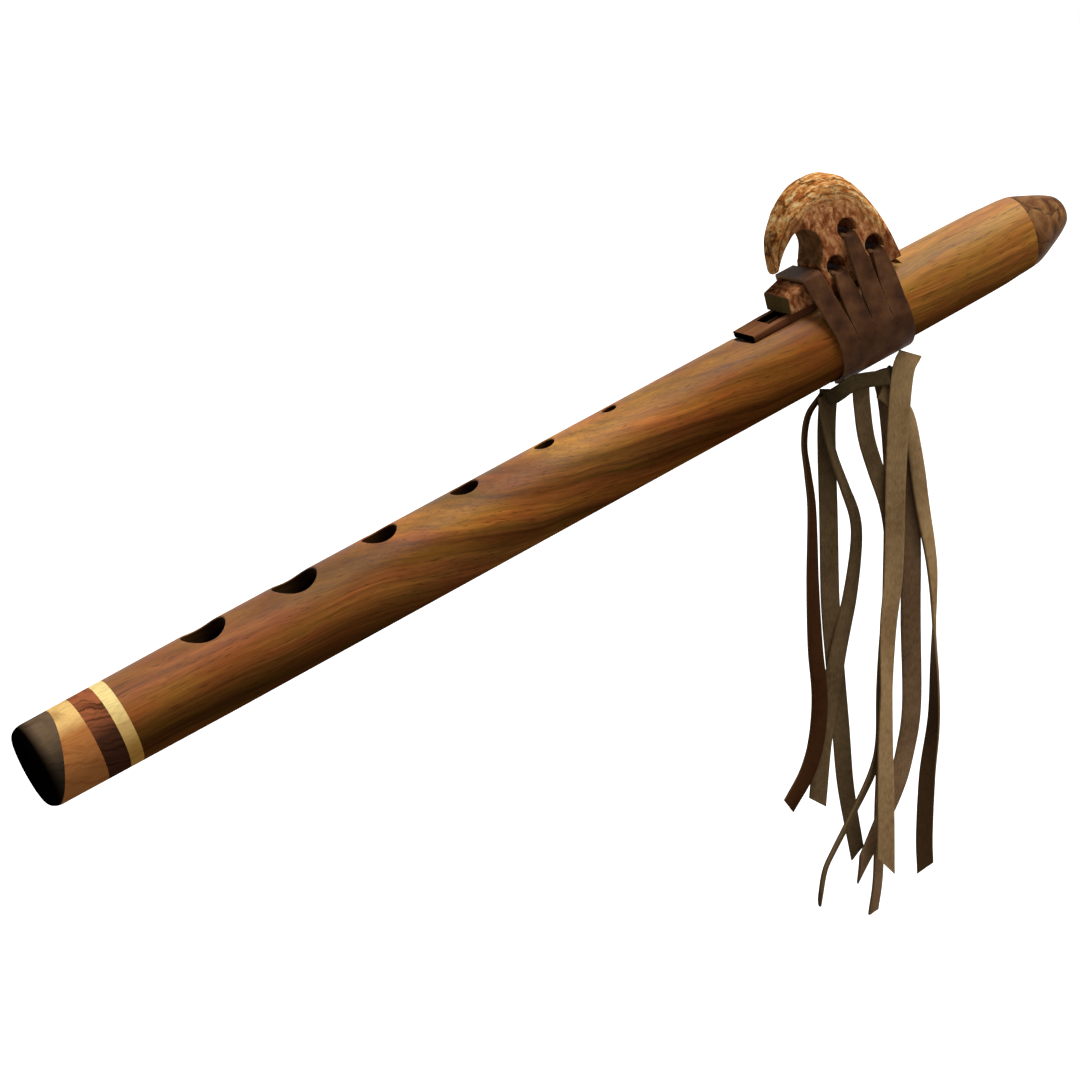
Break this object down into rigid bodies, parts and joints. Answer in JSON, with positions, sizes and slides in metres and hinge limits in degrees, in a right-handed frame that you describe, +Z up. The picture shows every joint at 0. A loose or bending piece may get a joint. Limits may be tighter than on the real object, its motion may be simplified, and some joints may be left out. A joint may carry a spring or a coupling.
{
  "type": "native american flute",
  "caption": "Two-chamber wooden end-blown flute with finger holes, laminated foot rings, a carved block tied on with slit leather, and hanging leather thongs.",
  "frame": {"origin": "the point where the player's hands hold the flute: on the bore's axis, midway between the third and fourth finger holes", "axes": "+Z up as the flute hangs in the picture, +X towards the mouth end along the level, the tube turned up 23.15 degrees from +X towards +Z, and -Y to the side seen in the picture"},
  "size_m": [0.3946, 0.0334, 0.2705],
  "materials": {
    "walnut": "satin oiled walnut, reddish brown with dark streaks",
    "dark_wood": "satin dark olive-brown wood",
    "light_wood": "satin orange-tan wood",
    "red_dark_wood": "satin dark red-brown wood",
    "pale_wood": "satin pale yellow wood",
    "burl_wood": "polished reddish burl",
    "block_wood": "open-pored coarse-grained wood",
    "smooth_leather": "smooth purple-brown leather",
    "suede": "olive-brown suede"
  },
  "bodies": {
    "flute_body": {"foot_cap_ring": "dark_wood", "foot_light_band": "light_wood", "foot_dark_band": "red_dark_wood", "foot_pale_band": "pale_wood", "flute_tube": "walnut", "chamber_plug": "light_wood", "nose_cap": "burl_wood", "spacer_plate": "walnut"},
    "tied_block": {"totem_block": "block_wood", "lace_wrap": "smooth_leather", "lace_tie": "suede", "thong_1": "smooth_leather", "thong_2": "suede", "thong_3": "suede", "thong_4": "suede", "thong_5": "suede", "thong_6": "suede", "thong_7": "suede", "thong_8": "suede"}
  },
  "joints": [
    {"name": "block_slide", "type": "slide", "parent": "flute_body", "child": "tied_block", "axis": [0.9195, 0, 0.3931], "range_m": [-0.003, 0.003]}
  ]
}
